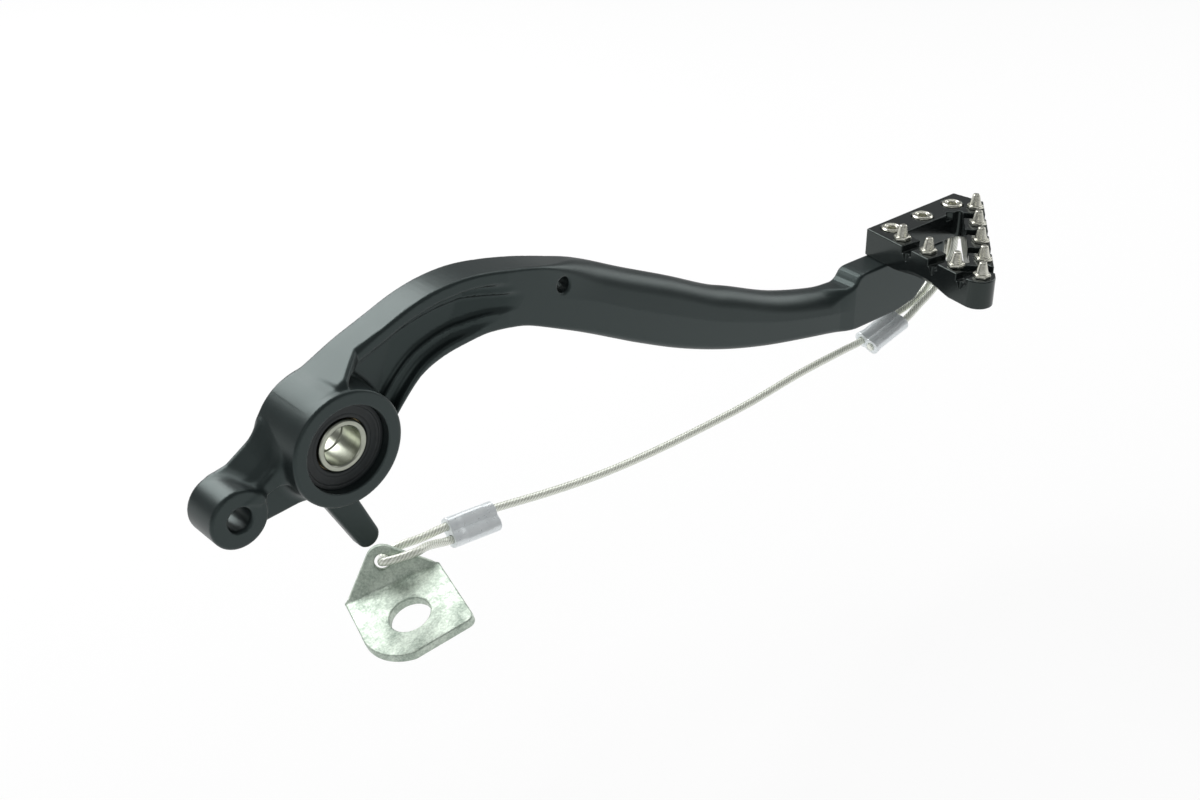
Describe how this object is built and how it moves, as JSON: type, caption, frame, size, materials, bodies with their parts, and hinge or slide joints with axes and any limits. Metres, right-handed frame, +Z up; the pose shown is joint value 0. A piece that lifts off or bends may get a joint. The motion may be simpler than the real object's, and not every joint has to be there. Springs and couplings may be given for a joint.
{
  "type": "motorbike rear brake pedal",
  "caption": "Forged rear brake pedal with a bushed pivot, clevis eye, studded open step plate and a safety cable ending in a bolt-on bracket.",
  "frame": {"origin": "on the axis of the pivot bore, near the middle of the boss", "axes": "+X forward along the arm to the step plate, +Y along the pivot bore towards the motorbike's frame, +Z up"},
  "size_m": [0.2985, 0.0585, 0.0958],
  "materials": {
    "arm_black": "forged, satin black anodised",
    "plate_black": "machined, gloss black anodised",
    "bearing_steel": "turned and polished",
    "bush_bronze": "plain bearing bronze",
    "seal_rubber": "matte black rubber",
    "stainless": "bright stainless",
    "cable_wire": "stranded steel wire under a clear coat",
    "ferrule_metal": "bright drawn",
    "bracket_zinc": "zinc plated sheet"
  },
  "bodies": {
    "pedal": {"pedal_arm": "arm_black", "bearing_bush_outer": "bush_bronze", "bearing_bush_inner": "bush_bronze", "dust_seal_outer": "seal_rubber", "dust_seal_inner": "seal_rubber", "step_plate": "plate_black", "plate_screw_rear": "stainless", "plate_screw_middle": "stainless", "plate_screw_front": "stainless", "grip_stud_1": "stainless", "grip_stud_2": "stainless", "grip_stud_3": "stainless", "grip_stud_4": "stainless", "grip_stud_5": "stainless", "grip_stud_6": "stainless", "grip_stud_7": "stainless", "grip_stud_8": "stainless", "safety_cable": "cable_wire", "cable_ferrule_upper": "ferrule_metal", "cable_ferrule_lower": "ferrule_metal"},
    "pivot_collar": {"pivot_collar_outer": "bearing_steel", "pivot_collar_inner": "bearing_steel"},
    "bracket": {"anchor_bracket": "bracket_zinc"}
  },
  "joints": [
    {"name": "collar_turn", "type": "hinge", "parent": "pedal", "child": "pivot_collar", "pos_m": [0, 0, 0], "axis": [0, 1, 0], "continuous": true},
    {"name": "bracket_swing", "type": "hinge", "parent": "pedal", "child": "bracket", "pos_m": [0.0172, 0.0047, -0.0497], "axis": [-0.4916, -0.7876, 0.3716], "range_deg": [-60, 0]}
  ]
}
